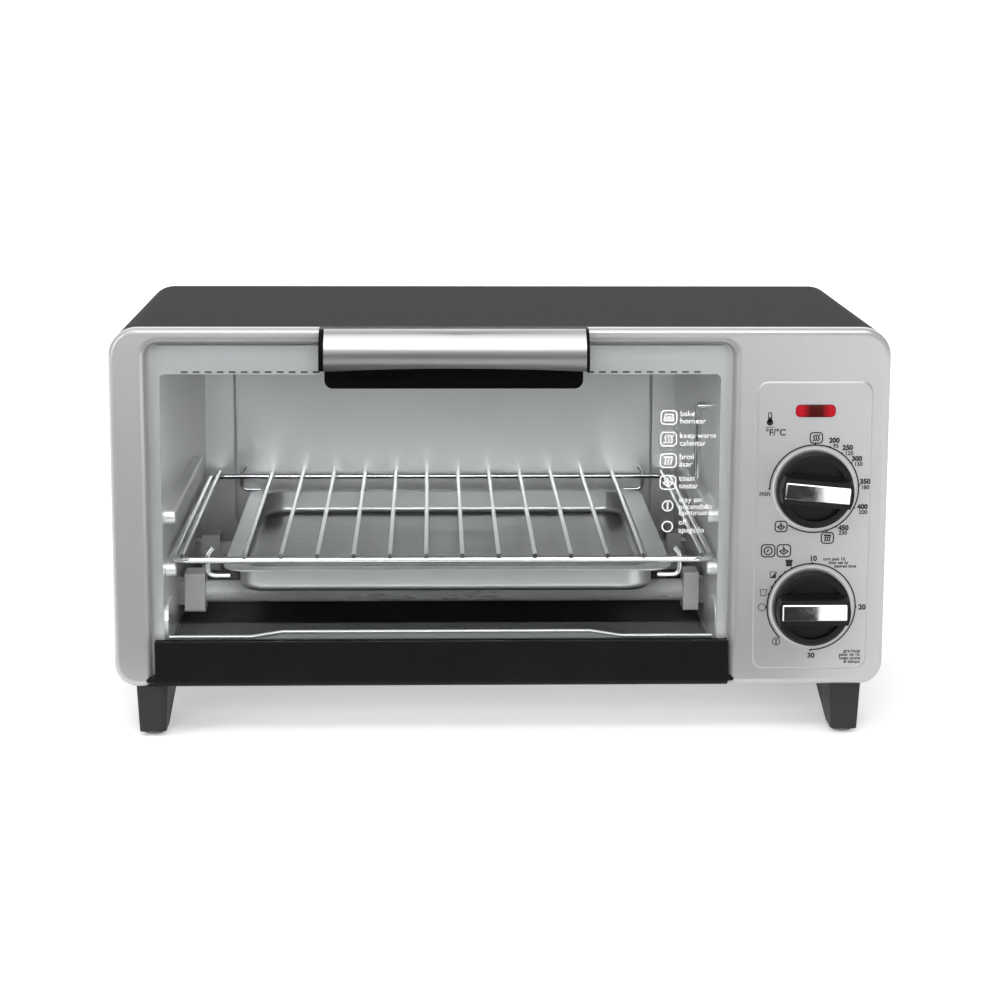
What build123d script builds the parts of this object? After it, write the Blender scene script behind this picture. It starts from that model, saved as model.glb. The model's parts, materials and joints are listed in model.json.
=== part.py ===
from build123d import *
import os

os.makedirs("parts", exist_ok=True)

# All dimensions are in mm. X runs left to right, Y from front to back, Z up from the table.
# "Depth" is measured backwards from the front plane of the bezel.
Y_FRONT = -106.0  # the bezel's front plane, so that the whole oven is centred on the origin
CASE_W = 367.0
Z_BASE = 25.5  # underside of the casing
Z_TOP = 198.0
TOP_R = 13.3  # upper corners of the casing
LOW_R = 11.0  # lower corners of the casing
SHEET = 0.6
BEZEL_DEPTH = 6.5
WRAP_FRONT = 6.9
WRAP_REAR = 170.0
FOOT_X = 166.5  # middle of each foot, left and right

# Door recess in the bezel, and the opening of the oven cavity
RECESS_X0 = -166.3
RECESS_X1 = 109.6
RECESS_TOP = 190.6
RECESS_FLOOR = 5.5
OPEN_X0 = -160.2
OPEN_X1 = 103.6
OPEN_Z0 = 37.2
OPEN_Z1 = 175.8

# Oven cavity
CAV_X0 = -160.1
CAV_X1 = 105.0
CAV_Z0 = 36.5
CAV_Z1 = 186.3
CAV_REAR = 225.0
LINER = 0.6

# Door
HINGE_D = 1.8
HINGE_Z = 28.8
PIN_R = 1.5
RAIL_X0 = -164.2
RAIL_X1 = 108.8
RAIL_Z1 = 48.0
GLASS_X0 = -164.0
GLASS_X1 = 107.6
GLASS_Z0 = 36.0
GLASS_Z1 = 190.0
GLASS_D0 = 0.2
GLASS_D1 = 4.2

# Handle
HANDLE_X0 = -84.5
HANDLE_X1 = 39.9
FASCIA_X0 = -82.2
FASCIA_X1 = 38.5
HANDLE_SCREWS = (-62.0, 17.0)
HANDLE_SCREW_Z = 182.0

# Controls
KNOB_X = 148.2
TEMPERATURE_Z = 121.7
TIMER_Z = 64.3
KNOB_R = 18.3
SCOOP_R = 14.7
INSERT_L, INSERT_W = 31.4, 8.4
PAD_D = -0.8  # face of the raised control pad
LENS_Z = 159.1
SHAFT_R = 3.0

# Wire rack and bake pan
RACK_X0 = -158.3
RACK_X1 = 103.4
RACK_D0 = 13.0
RACK_D1 = 221.0
RACK_Z = 84.5
RAIL_R = 1.6
WIRE_R = 1.15
WIRE_PITCH = 17.39
WIRE_X0 = -122.3
WIRES = 12
PAN_Z = 78.5  # underside of the pan's rim

# Heating elements
TUBE_R = 5.5
TUBES = {
    "lower_front_element": (74.0, 54.6),
    "lower_rear_element": (162.0, 54.6),
    "upper_front_element": (74.0, 175.5),
    "upper_rear_element": (162.0, 175.5),
}


def at_depth(depth):
    """Plane parallel to the front of the oven, with local axes along X and Z."""
    return Plane.XZ.offset(-(Y_FRONT + depth))


def block(x0, x1, d0, d1, z0, z1, mode=Mode.ADD):
    """Box between two X, two depths and two heights."""
    with Locations(((x0 + x1) / 2, Y_FRONT + (d0 + d1) / 2, (z0 + z1) / 2)):
        Box(x1 - x0, d1 - d0, z1 - z0, mode=mode)


def slab(x0, x1, d0, d1, z0, z1, radius, mode=Mode.ADD):
    """Plate parallel to the front, with its four corners rounded."""
    with BuildSketch(at_depth(d1)) as outline:
        with Locations(((x0 + x1) / 2, (z0 + z1) / 2)):
            RectangleRounded(x1 - x0, z1 - z0, radius)
    extrude(outline.sketch, amount=d1 - d0, mode=mode)


def rod_y(x, z, d0, d1, radius, mode=Mode.ADD):
    """Round bar along the depth."""
    with BuildSketch(at_depth(d1)) as outline:
        with Locations((x, z)):
            Circle(radius)
    extrude(outline.sketch, amount=d1 - d0, mode=mode)


def rod_x(x0, x1, depth, z, radius, mode=Mode.ADD):
    """Round bar along X."""
    with BuildSketch(Plane.YZ.offset(x0)) as outline:
        with Locations((Y_FRONT + depth, z)):
            Circle(radius)
    extrude(outline.sketch, amount=x1 - x0, mode=mode)


def casing_outline(inset):
    """Outline of the casing seen from the front, drawn a distance inside its outer face."""
    with BuildSketch(mode=Mode.PRIVATE) as outline:
        with Locations((0, (Z_BASE + Z_TOP) / 2)):
            Rectangle(CASE_W - 2 * inset, Z_TOP - Z_BASE - 2 * inset)
        fillet(outline.vertices().group_by(Axis.Y)[-1], TOP_R - inset)
        fillet(outline.vertices().group_by(Axis.Y)[0], LOW_R - inset)
    return outline.sketch


def save(piece, label):
    """Name a finished piece and write its file."""
    piece.part.label = label
    export_step(piece.part, f"parts/{label}.step")


# ---------------------------------------------------------------- casing

with BuildPart() as front_bezel:
    with BuildSketch(at_depth(BEZEL_DEPTH)):
        add(casing_outline(0))
    extrude(amount=BEZEL_DEPTH)
    fillet(front_bezel.faces().sort_by(Axis.Y)[0].edges(), 3.2)
    with BuildSketch(at_depth(BEZEL_DEPTH)):
        add(casing_outline(1.2))
    extrude(amount=BEZEL_DEPTH - 1.2, mode=Mode.SUBTRACT)
    # walls around the door recess
    block(RECESS_X0 - 3.2, RECESS_X1 + 3.2, 1.2, BEZEL_DEPTH, 26.7, RECESS_TOP + 3.2)
    slab(RECESS_X0, RECESS_X1, -1, RECESS_FLOOR, 10, RECESS_TOP, 6.0, mode=Mode.SUBTRACT)
    rims = []
    for edge in front_bezel.edges():
        middle = edge.center()
        on_front = abs(middle.Y - Y_FRONT) < 0.01
        across = RECESS_X0 - 0.01 < middle.X < RECESS_X1 + 0.01
        if on_front and across and Z_BASE + 5 < middle.Z < RECESS_TOP + 0.01:
            rims.append(edge)
    fillet(rims, 3.6)
    slab(OPEN_X0, OPEN_X1, 4, 8, OPEN_Z0, OPEN_Z1, 2.5, mode=Mode.SUBTRACT)
    # raised pad under the controls
    with BuildSketch(at_depth(0.6)) as pad:
        with Locations(((120.6 + 174.9) / 2, (33.8 + 172.9) / 2)):
            RectangleRounded(54.3 + 1.6, 139.1 + 1.6, 5.8)
    extrude(pad.sketch, amount=0.6 - PAD_D, taper=45)
    fillet(front_bezel.faces().sort_by(Axis.Y)[0].edges(), 0.7)
    for knob_z in (TEMPERATURE_Z, TIMER_Z):
        rod_y(KNOB_X, knob_z, -2, 8, 3.8, mode=Mode.SUBTRACT)
    slab(138.5, 157.5, -2, 8, LENS_Z - 3.0, LENS_Z + 3.0, 2.3, mode=Mode.SUBTRACT)
    # bearings of the door hinge
    rod_x(RECESS_X0 - 5, RECESS_X0 + 1, HINGE_D, HINGE_Z, PIN_R + 0.08, mode=Mode.SUBTRACT)
    rod_x(RECESS_X1 - 1, RECESS_X1 + 5, HINGE_D, HINGE_Z, PIN_R + 0.08, mode=Mode.SUBTRACT)
save(front_bezel, "front_bezel")

with BuildPart() as outer_wrap:
    with BuildSketch(at_depth(WRAP_REAR)):
        add(casing_outline(0))
        add(casing_outline(SHEET), mode=Mode.SUBTRACT)
        with Locations((0, Z_BASE)):
            Rectangle(300, 10, mode=Mode.SUBTRACT)
    extrude(amount=WRAP_REAR - WRAP_FRONT)
    # ventilation slots beside the controls
    for row in range(7):
        block(180, 186, 96, 140, 50 + 8 * row, 53 + 8 * row, mode=Mode.SUBTRACT)
save(outer_wrap, "outer_wrap")

with BuildPart() as bottom_plate:
    block(-168, 168, 8, 168, Z_BASE + SHEET + 0.1, Z_BASE + 2 * SHEET + 0.1)
    for column in range(6):
        block(122 + 7 * column, 125 + 7 * column, 92, 132, 20, 30, mode=Mode.SUBTRACT)
save(bottom_plate, "bottom_plate")

PANEL_D = 168.6
PANEL_SCREWS = ((-179, 60), (-179, 160), (179, 60), (179, 160))
with BuildPart() as rear_panel:
    with BuildSketch(at_depth(PANEL_D + SHEET)):
        add(casing_outline(SHEET + 0.4))
        with Locations((0, Z_BASE)):
            Rectangle(400, 5.2, mode=Mode.SUBTRACT)
    extrude(amount=SHEET)
    slab(-163.5, 108.5, 160, 180, 33.0, 188.4, 4, mode=Mode.SUBTRACT)
    for row in range(9):
        block(134, 170, 160, 180, 96 + 8 * row, 99 + 8 * row, mode=Mode.SUBTRACT)
    rod_y(152, 52, 160, 180, 7.0, mode=Mode.SUBTRACT)
    for screw_x, screw_z in PANEL_SCREWS:
        rod_y(screw_x, screw_z, 160, 180, 1.6, mode=Mode.SUBTRACT)
    for screw_x in (-172.5, 117.5):
        for screw_z in (45, 111, 177):
            rod_y(screw_x, screw_z, 160, 180, 1.6, mode=Mode.SUBTRACT)
save(rear_panel, "rear_panel")

FLANGE_D = PANEL_D + SHEET + 0.05
COVER_REAR = 234.564
with BuildPart() as rear_cover:
    block(-168, 113, FLANGE_D, COVER_REAR, 30.5, 189.6)
    fillet(rear_cover.edges().filter_by(Axis.Y), 9)
    fillet(rear_cover.faces().sort_by(Axis.Y)[-1].edges(), 7)
    offset(amount=-SHEET, openings=rear_cover.faces().sort_by(Axis.Y)[0])
    with BuildSketch(at_depth(FLANGE_D + SHEET)):
        with Locations((-27.5, 110.9)):
            RectangleRounded(296.4, 166, 6)
        with Locations((-27.5, (30.5 + 189.6) / 2)):
            RectangleRounded(281 - 2 * SHEET, 159.1 - 2 * SHEET, 9 - SHEET, mode=Mode.SUBTRACT)
    extrude(amount=SHEET)
    for screw_x in (-172.5, 117.5):
        for screw_z in (45, 111, 177):
            rod_y(screw_x, screw_z, 160, 180, 1.6, mode=Mode.SUBTRACT)
save(rear_cover, "rear_cover")

with BuildPart() as front_sill:
    block(-158, 102, 7.0, 7.0 + LINER, 28.0, 37.0)
    block(-158, 102, 7.0, 16, 28.0, 28.0 + LINER)
save(front_sill, "front_sill")

# ---------------------------------------------------------------- oven cavity


def side_wall(face_x, inward):
    """Side of the oven cavity: a sheet with a tray ledge, two rack ribs and a tray guide."""
    outer = face_x - inward * LINER
    block(min(face_x, outer), max(face_x, outer), 7, CAV_REAR, CAV_Z0, CAV_Z1)
    ledge = face_x + inward * 8
    block(min(face_x, ledge), max(face_x, ledge), 9, 220, CAV_Z0, CAV_Z0 + LINER)
    for z0, z1, d0, d1, rise in ((101, 108, 18, 158, 5), (75, 82.2, 18, 158, 5), (44, 63, 10, 38, 1.5)):
        with BuildSketch(Plane.YZ.offset(face_x)) as outline:
            with Locations((Y_FRONT + (d0 + d1) / 2, (z0 + z1) / 2)):
                RectangleRounded(d1 - d0, z1 - z0, (z1 - z0) * 0.45)
        extrude(outline.sketch, amount=inward * rise)


with BuildPart() as cavity_left_wall:
    side_wall(CAV_X0, 1)
    raised = cavity_left_wall.edges().filter_by(lambda e: e.center().X > CAV_X0 + 4.9 and e.center().Z > 60)
    fillet(raised, 1.2)
save(cavity_left_wall, "cavity_left_wall")

with BuildPart() as cavity_right_wall:
    side_wall(CAV_X1, -1)
    raised = cavity_right_wall.edges().filter_by(lambda e: e.center().X < CAV_X1 - 4.9 and e.center().Z > 60)
    fillet(raised, 1.2)
save(cavity_right_wall, "cavity_right_wall")

with BuildPart() as cavity_ceiling:
    block(CAV_X0 - LINER, CAV_X1 + LINER, 7, CAV_REAR, CAV_Z1, CAV_Z1 + LINER)
save(cavity_ceiling, "cavity_ceiling")

with BuildPart() as cavity_back:
    block(CAV_X0 - LINER, CAV_X1 + LINER, CAV_REAR, CAV_REAR + LINER, CAV_Z0, CAV_Z1 + LINER)
    slab(-144, 92, CAV_REAR - 3, CAV_REAR, 44, 180, 20)
    fillet(cavity_back.faces().sort_by(Axis.Y)[0].edges(), 2.2)
    slab(-142, 90, CAV_REAR - 2.2, CAV_REAR + 2, 46, 178, 18, mode=Mode.SUBTRACT)
save(cavity_back, "cavity_back")

for tube_name, (tube_d, tube_z) in TUBES.items():
    with BuildPart() as tube:
        rod_x(-151.5, 99.0, tube_d, tube_z, TUBE_R)
        rod_x(-151.5, 99.0, tube_d, tube_z, TUBE_R - 0.9, mode=Mode.SUBTRACT)
    save(tube, tube_name)

with BuildPart() as element_blocks:
    for tube_d, tube_z in TUBES.values():
        for x0, x1, socket0, socket1 in ((-156.5, -146.4, -151.5, -146), (94.2, 101.8, 94, 99)):
            block(x0, x1, tube_d - 7.5, tube_d + 7.5, tube_z - 9.2, tube_z + 10.5)
            rod_x(socket0, socket1, tube_d, tube_z, TUBE_R + 0.05, mode=Mode.SUBTRACT)
    fillet(element_blocks.edges().filter_by(Axis.X).filter_by(GeomType.LINE), 1.5)
save(element_blocks, "element_blocks")

with BuildPart() as element_tabs:
    for tube_d, tube_z in TUBES.values():
        block(CAV_X0, -156.5, tube_d - 5, tube_d + 5, tube_z - 6, tube_z + 6)
        block(101.8, CAV_X1, tube_d - 5, tube_d + 5, tube_z - 6, tube_z + 6)
save(element_tabs, "element_tabs")

with BuildPart() as sensor_rod:
    with BuildLine() as rod_path:
        Polyline((104.9, Y_FRONT + 75, 149), (101, Y_FRONT + 75, 149), (101, Y_FRONT + 75, 112))
    with BuildSketch(Plane(origin=rod_path.line @ 0, z_dir=rod_path.line % 0)):
        Circle(1.9)
    sweep(transition=Transition.ROUND)
save(sensor_rod, "sensor_rod")

# ---------------------------------------------------------------- feet


def foot_section(x_sign, d_outer, d_sign, height, x_inset, d_inset, depth):
    """Cross-section of a foot at a height, as wide and as deep as it is there."""
    with BuildSketch(Plane.XY.offset(height)) as section:
        with Locations((x_sign * FOOT_X, Y_FRONT + d_outer + d_sign * (d_inset + depth / 2))):
            RectangleRounded(15 - 2 * x_inset, depth, 2.6)
    return section.sketch


FEET = {
    "foot_front_left": (-1, 3, 1),
    "foot_front_right": (1, 3, 1),
    "foot_rear_left": (-1, 167, -1),
    "foot_rear_right": (1, 167, -1),
}
for foot_name, (foot_side, foot_d, foot_way) in FEET.items():
    with BuildPart() as one_foot:
        top = foot_section(foot_side, foot_d, foot_way, Z_BASE, 0, 0, 58)
        waist = foot_section(foot_side, foot_d, foot_way, 15.0, 0.5, 0.4, 54)
        bottom = foot_section(foot_side, foot_d, foot_way, 2.4, 1.1, 0.9, 18)
        loft([top, waist], ruled=True)
        loft([waist, bottom], ruled=True)
        with Locations((foot_side * FOOT_X, Y_FRONT + foot_d + foot_way * 9, 2.4)):
            Cylinder(2.0, 8, mode=Mode.SUBTRACT)
    save(one_foot, foot_name)

with BuildPart() as foot_pads:
    for foot_side, foot_d, foot_way in FEET.values():
        with Locations((foot_side * FOOT_X, Y_FRONT + foot_d + foot_way * 9, 1.2)):
            Cylinder(4.7, 2.4)
        with Locations((foot_side * FOOT_X, Y_FRONT + foot_d + foot_way * 9, 4.0)):
            Cylinder(1.95, 3.6)
    fillet(foot_pads.edges().group_by(Axis.Z)[0], 0.6)
save(foot_pads, "foot_pads")

# ---------------------------------------------------------------- electrical bay

with BuildPart() as heat_shield:
    block(114.0, 114.8, 8, 166, 28.0, 194.0)
    block(114.0, 122.0, 8, 8.8, 180.0, 194.0)
save(heat_shield, "heat_shield")

with BuildPart() as thermostat_body:
    block(133, 163, 1.3, 20, 107, 137)
    fillet(thermostat_body.edges().filter_by(Axis.Y), 2)
    block(136, 160, 20, 30, 112, 132)
    rod_y(KNOB_X, TEMPERATURE_Z, 0, 16, SHAFT_R + 0.08, mode=Mode.SUBTRACT)
save(thermostat_body, "thermostat_body")

with BuildPart() as timer_body:
    block(128, 168, 1.3, 27, 44, 84)
    fillet(timer_body.edges().filter_by(Axis.Y), 3)
    rod_y(KNOB_X, TIMER_Z, 0, 16, SHAFT_R + 0.08, mode=Mode.SUBTRACT)
    rod_y(KNOB_X, TIMER_Z, 27, 33, 2.0)
save(timer_body, "timer_body")

with BuildPart() as timer_bell:
    rod_y(KNOB_X, TIMER_Z, 33, 43, 19)
    fillet(timer_bell.faces().sort_by(Axis.Y)[-1].edges(), 8)
    offset(amount=-1.2, openings=timer_bell.faces().sort_by(Axis.Y)[0])
    rod_y(KNOB_X, TIMER_Z, 33, 42, 2.0)
save(timer_bell, "timer_bell")

with BuildPart() as indicator_lens:
    slab(138.6, 157.4, -2.2, 4.0, LENS_Z - 2.9, LENS_Z + 2.9, 2.2)
    chamfer(indicator_lens.faces().sort_by(Axis.Y)[0].edges(), 0.9)
    slab(136.8, 159.2, 1.25, 2.4, LENS_Z - 4.6, LENS_Z + 4.6, 2.5)
save(indicator_lens, "indicator_lens")

with BuildPart() as indicator_lamp:
    rod_y(148.0, LENS_Z, 4.1, 20, 2.8)
    fillet(indicator_lamp.faces().sort_by(Axis.Y)[0].edges(), 1.5)
save(indicator_lamp, "indicator_lamp")

# each wire: its path, and whether it ends on a terminal (-1) or at the cord inlet (1)
WIRE_RUNS = (
    ((148.0, 20.4, LENS_Z), (152.0, 60.0, 158.0), (140.0, 74.0, 142.0), (142.0, 30.4, 128.0), -1),
    ((154.0, 30.4, 118.0), (160.0, 60.0, 112.0), (166.0, 60.0, 96.0), (165.0, 27.4, 81.0), -1),
    ((131.0, 27.4, 47.0), (130.0, 70.0, 44.0), (138.0, 120.0, 46.0), (149.0, 160.0, 51.0), 1),
    ((142.0, 30.4, 116.0), (136.0, 90.0, 108.0), (142.0, 130.0, 72.0), (154.0, 160.0, 53.0), 1),
)
with BuildPart() as wiring:
    for *run, way in WIRE_RUNS:
        with BuildLine() as wire_path:
            Spline([(x, Y_FRONT + d, z) for x, d, z in run], tangents=((0, 1, 0), (0, way, 0)))
        with BuildSketch(Plane(origin=wire_path.line @ 0, z_dir=wire_path.line % 0)):
            Circle(1.1)
        sweep()
save(wiring, "wiring")

with BuildPart() as cord_bushing:
    rod_y(152, 52, 166, 172.5, 6.8)
    rod_y(152, 52, 170.0, 172.5, 9.0)
    fillet(cord_bushing.faces().sort_by(Axis.Y)[-1].edges(), 1.0)
    rod_y(152, 52, 160, 180, 3.6, mode=Mode.SUBTRACT)
save(cord_bushing, "cord_bushing")

with BuildPart() as rear_screws:
    for screw_x, screw_z in PANEL_SCREWS:
        rod_y(screw_x, screw_z, 163, PANEL_D + SHEET + 1.6, 1.5)
        rod_y(screw_x, screw_z, PANEL_D + SHEET, PANEL_D + SHEET + 1.6, 2.8)
    for screw_x in (-172.5, 117.5):
        for screw_z in (45, 111, 177):
            rod_y(screw_x, screw_z, 163, FLANGE_D + SHEET + 1.6, 1.5)
            rod_y(screw_x, screw_z, FLANGE_D + SHEET, FLANGE_D + SHEET + 1.6, 3.2)
    heads = rear_screws.faces().filter_by(GeomType.PLANE).filter_by(lambda f: f.center().Y > Y_FRONT + PANEL_D + 2)
    fillet([face.outer_wire().edges()[0] for face in heads], 0.7)
save(rear_screws, "rear_screws")

# ---------------------------------------------------------------- door

with BuildPart() as door_glass:
    slab(GLASS_X0, GLASS_X1, GLASS_D0, GLASS_D1, GLASS_Z0, GLASS_Z1, 4.5)
    chamfer(door_glass.faces().sort_by(Axis.Y)[0].edges(), 0.4)
    for screw_x in HANDLE_SCREWS:
        rod_y(screw_x, HANDLE_SCREW_Z, -1, 6, 2.3, mode=Mode.SUBTRACT)
save(door_glass, "door_glass")

with BuildPart() as door_bottom_rail:
    block(RAIL_X0, RAIL_X1, -1.2, 4.9, 25.7, RAIL_Z1)
    fillet(door_bottom_rail.edges().group_by(Axis.Z)[0].filter_by(Axis.X), 2.9)
    fillet(door_bottom_rail.edges().group_by(Axis.Z)[-1].filter_by(Axis.X), 0.5)
    block(-170, 112, 0.1, 4.3, 35.5, 60, mode=Mode.SUBTRACT)
    rod_x(RAIL_X0 - 1, RAIL_X0 + 9, HINGE_D, HINGE_Z, PIN_R + 0.02, mode=Mode.SUBTRACT)
    rod_x(RAIL_X1 - 9, RAIL_X1 + 1, HINGE_D, HINGE_Z, PIN_R + 0.02, mode=Mode.SUBTRACT)
save(door_bottom_rail, "door_bottom_rail")

with BuildPart() as hinge_pins:
    rod_x(RECESS_X0 - 2.8, RAIL_X0 + 8.9, HINGE_D, HINGE_Z, PIN_R)
    rod_x(RAIL_X1 - 8.9, RECESS_X1 + 2.8, HINGE_D, HINGE_Z, PIN_R)
    rod_x(RAIL_X0 - 1.2, RAIL_X0, HINGE_D, HINGE_Z, 2.4)
    rod_x(RAIL_X1, RAIL_X1 + 0.4, HINGE_D, HINGE_Z, 2.4)
save(hinge_pins, "hinge_pins")

# The handle's section: points on the curved front, as depth and height
CURVE_TOP = (-12.0, 199.4)
CURVE_MID = (-20.6, 192.6)
CURVE_LOW = (-22.0, 181.2)


def curve_point(point, shift):
    """Point of the handle's curved front, moved backwards by a distance."""
    return (Y_FRONT + point[0] + shift, point[1])


with BuildPart() as door_handle:
    with BuildSketch(Plane.YZ.offset(HANDLE_X0)):
        with BuildLine():
            front = ThreePointArc(
                curve_point(CURVE_TOP, 0.9), curve_point(CURVE_MID, 0.9), curve_point(CURVE_LOW, 0.9)
            )
            Polyline(
                front @ 1,
                (Y_FRONT - 18.6, 181.2),
                (Y_FRONT - 17.8, 189.0),
                (Y_FRONT - 13.0, 194.6),
                (Y_FRONT - 6.6, 194.6),
                (Y_FRONT - 4.6, 192.6),
                (Y_FRONT - 4.6, 170.4),
                (Y_FRONT + GLASS_D0 - 0.02, 170.4),
                (Y_FRONT + GLASS_D0 - 0.02, 189.4),
                (Y_FRONT - 2.4, 192.0),
                (Y_FRONT - 2.4, 199.4),
                front @ 0,
            )
        make_face()
    extrude(amount=HANDLE_X1 - HANDLE_X0)
    # the end caps run out flush with the metal fascia
    for cap_x in (HANDLE_X0, FASCIA_X1):
        width = FASCIA_X0 - HANDLE_X0 if cap_x == HANDLE_X0 else HANDLE_X1 - FASCIA_X1
        with BuildSketch(Plane.YZ.offset(cap_x)):
            with BuildLine():
                cap = ThreePointArc(curve_point(CURVE_TOP, 0), curve_point(CURVE_MID, 0), curve_point(CURVE_LOW, 0))
                Polyline(cap @ 1, (Y_FRONT - 4.6, 181.2), (Y_FRONT - 4.6, 199.4), cap @ 0)
            make_face()
        extrude(amount=width)
    # the base is a little narrower than the grip, with rounded lower corners
    for base_x in (HANDLE_X0, HANDLE_X1):
        inside = 1.9 if base_x == HANDLE_X0 else -1.9
        block(
            min(base_x - inside, base_x + inside), max(base_x - inside, base_x + inside), -10, 5, 160, 181.2,
            mode=Mode.SUBTRACT,
        )
    fillet(door_handle.edges().group_by(Axis.Z)[0].filter_by(Axis.Y), 4)
    for screw_x in HANDLE_SCREWS:
        rod_y(screw_x, HANDLE_SCREW_Z, -4.0, 1, 1.85, mode=Mode.SUBTRACT)
save(door_handle, "door_handle")

with BuildPart() as handle_fascia:
    with BuildSketch(Plane.YZ.offset(FASCIA_X0)):
        with BuildLine():
            outside = ThreePointArc(curve_point(CURVE_TOP, 0), curve_point(CURVE_MID, 0), curve_point(CURVE_LOW, 0))
            inside = ThreePointArc(
                curve_point(CURVE_TOP, 0.85), curve_point(CURVE_MID, 0.85), curve_point(CURVE_LOW, 0.85)
            )
            Line(outside @ 0, inside @ 0)
            Line(outside @ 1, inside @ 1)
        make_face()
    extrude(amount=FASCIA_X1 - FASCIA_X0)
    # the lower edge rises slightly towards the middle
    with BuildSketch(at_depth(-30)):
        with BuildLine():
            arch = ThreePointArc(
                (FASCIA_X0 + 4, CURVE_LOW[1]), ((FASCIA_X0 + FASCIA_X1) / 2, CURVE_LOW[1] + 1.4),
                (FASCIA_X1 - 4, CURVE_LOW[1]),
            )
            Line(arch @ 0, arch @ 1)
        make_face()
    extrude(amount=-30, mode=Mode.SUBTRACT)
save(handle_fascia, "handle_fascia")

with BuildPart() as handle_screws:
    for screw_x in HANDLE_SCREWS:
        rod_y(screw_x, HANDLE_SCREW_Z, -3.6, GLASS_D1, 1.8)
        rod_y(screw_x, HANDLE_SCREW_Z, GLASS_D1, GLASS_D1 + 0.9, 3.6)
save(handle_screws, "handle_screws")

# ---------------------------------------------------------------- rack, pan and tray

with BuildPart() as wire_rack:
    x0, x1 = RACK_X0 + RAIL_R, RACK_X1 - RAIL_R
    y0, y1 = Y_FRONT + RACK_D0 + RAIL_R, Y_FRONT + RACK_D1 - RAIL_R
    with BuildSketch(Plane.XY.offset(RACK_Z), mode=Mode.PRIVATE) as frame_shape:
        with Locations(((x0 + x1) / 2, (y0 + y1) / 2)):
            RectangleRounded(x1 - x0, y1 - y0, 9)
    frame_path = frame_shape.sketch.face().outer_wire()
    with BuildSketch(Plane(origin=frame_path @ 0, z_dir=frame_path % 0)):
        Circle(RAIL_R)
    sweep(path=frame_path)
    for wire in range(WIRES):
        rod_y(WIRE_X0 + WIRE_PITCH * wire, RACK_Z + 2.2, RACK_D0 - 0.2, RACK_D1 + 0.2, WIRE_R)
    # second side bars, just inside the frame
    for bar_x in (RACK_X0 + 6.2, RACK_X1 - 6.2):
        rod_y(bar_x, RACK_Z + 2.2, RACK_D0 + 0.6, RACK_D1 - 0.6, WIRE_R)
    # hooks that carry the rim of the pan
    for hook_x, way in ((WIRE_X0 - WIRE_PITCH, 1), (WIRE_X0 + WIRE_PITCH * WIRES, -1)):
        for hook_y in (y0, y1):
            with BuildLine() as hook_path:
                FilletPolyline(
                    (hook_x + way * 2.4, hook_y, 90.4),
                    (hook_x, hook_y, 87.2),
                    (hook_x, hook_y, 76.9),
                    (hook_x + way * 10.5, hook_y, 76.9),
                    radius=3.4,
                )
            with BuildSketch(Plane(origin=hook_path.line @ 0, z_dir=hook_path.line % 0)):
                Circle(1.15)
            sweep()
save(wire_rack, "wire_rack")

with BuildPart() as bake_pan:
    with BuildSketch(Plane.XY.offset(66.6)):
        with Locations((-25.75, Y_FRONT + 112)):
            RectangleRounded(200.5, 180, 13)
    extrude(amount=PAN_Z - 66.6)
    fillet(bake_pan.faces().sort_by(Axis.Z)[0].edges(), 4)
    offset(amount=-0.8, openings=bake_pan.faces().sort_by(Axis.Z)[-1])
    with BuildSketch(Plane.XY.offset(PAN_Z)):
        with Locations((-24.8, Y_FRONT + 112)):
            RectangleRounded(217, 192, 12)
        with Locations((-25.75, Y_FRONT + 112)):
            RectangleRounded(200.5 - 1.6, 180 - 1.6, 12.2, mode=Mode.SUBTRACT)
    extrude(amount=0.8)
save(bake_pan, "bake_pan")

with BuildPart() as crumb_tray:
    block(-158.4, 102.2, 8.0, 216, 37.6, 38.3)
    for side_x in (-158.4, 101.5):
        block(side_x, side_x + 0.7, 8.0, 216, 38.3, 43.0)
    block(-158.4, 102.2, 215.3, 216, 38.3, 43.0)
    # front lip with its raised middle, and a bead along its top
    with BuildSketch(at_depth(8.7)):
        with BuildLine():
            Polyline(
                (-158.4, 37.6), (102.2, 37.6), (102.2, 48.4), (58.0, 48.4), (43.0, 50.8),
                (-104.0, 50.8), (-119.0, 48.4), (-158.4, 48.4), close=True,
            )
        make_face()
    extrude(amount=0.7)
    with BuildLine() as lip_path:
        FilletPolyline(
            (-158.0, Y_FRONT + 8.35, 48.4), (-119.0, Y_FRONT + 8.35, 48.4), (-104.0, Y_FRONT + 8.35, 50.8),
            (43.0, Y_FRONT + 8.35, 50.8), (58.0, Y_FRONT + 8.35, 48.4), (101.8, Y_FRONT + 8.35, 48.4),
            radius=5,
        )
    with BuildSketch(Plane(origin=lip_path.line @ 0, z_dir=lip_path.line % 0)):
        Circle(0.9)
    sweep()
save(crumb_tray, "crumb_tray")

# ---------------------------------------------------------------- knobs


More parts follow.
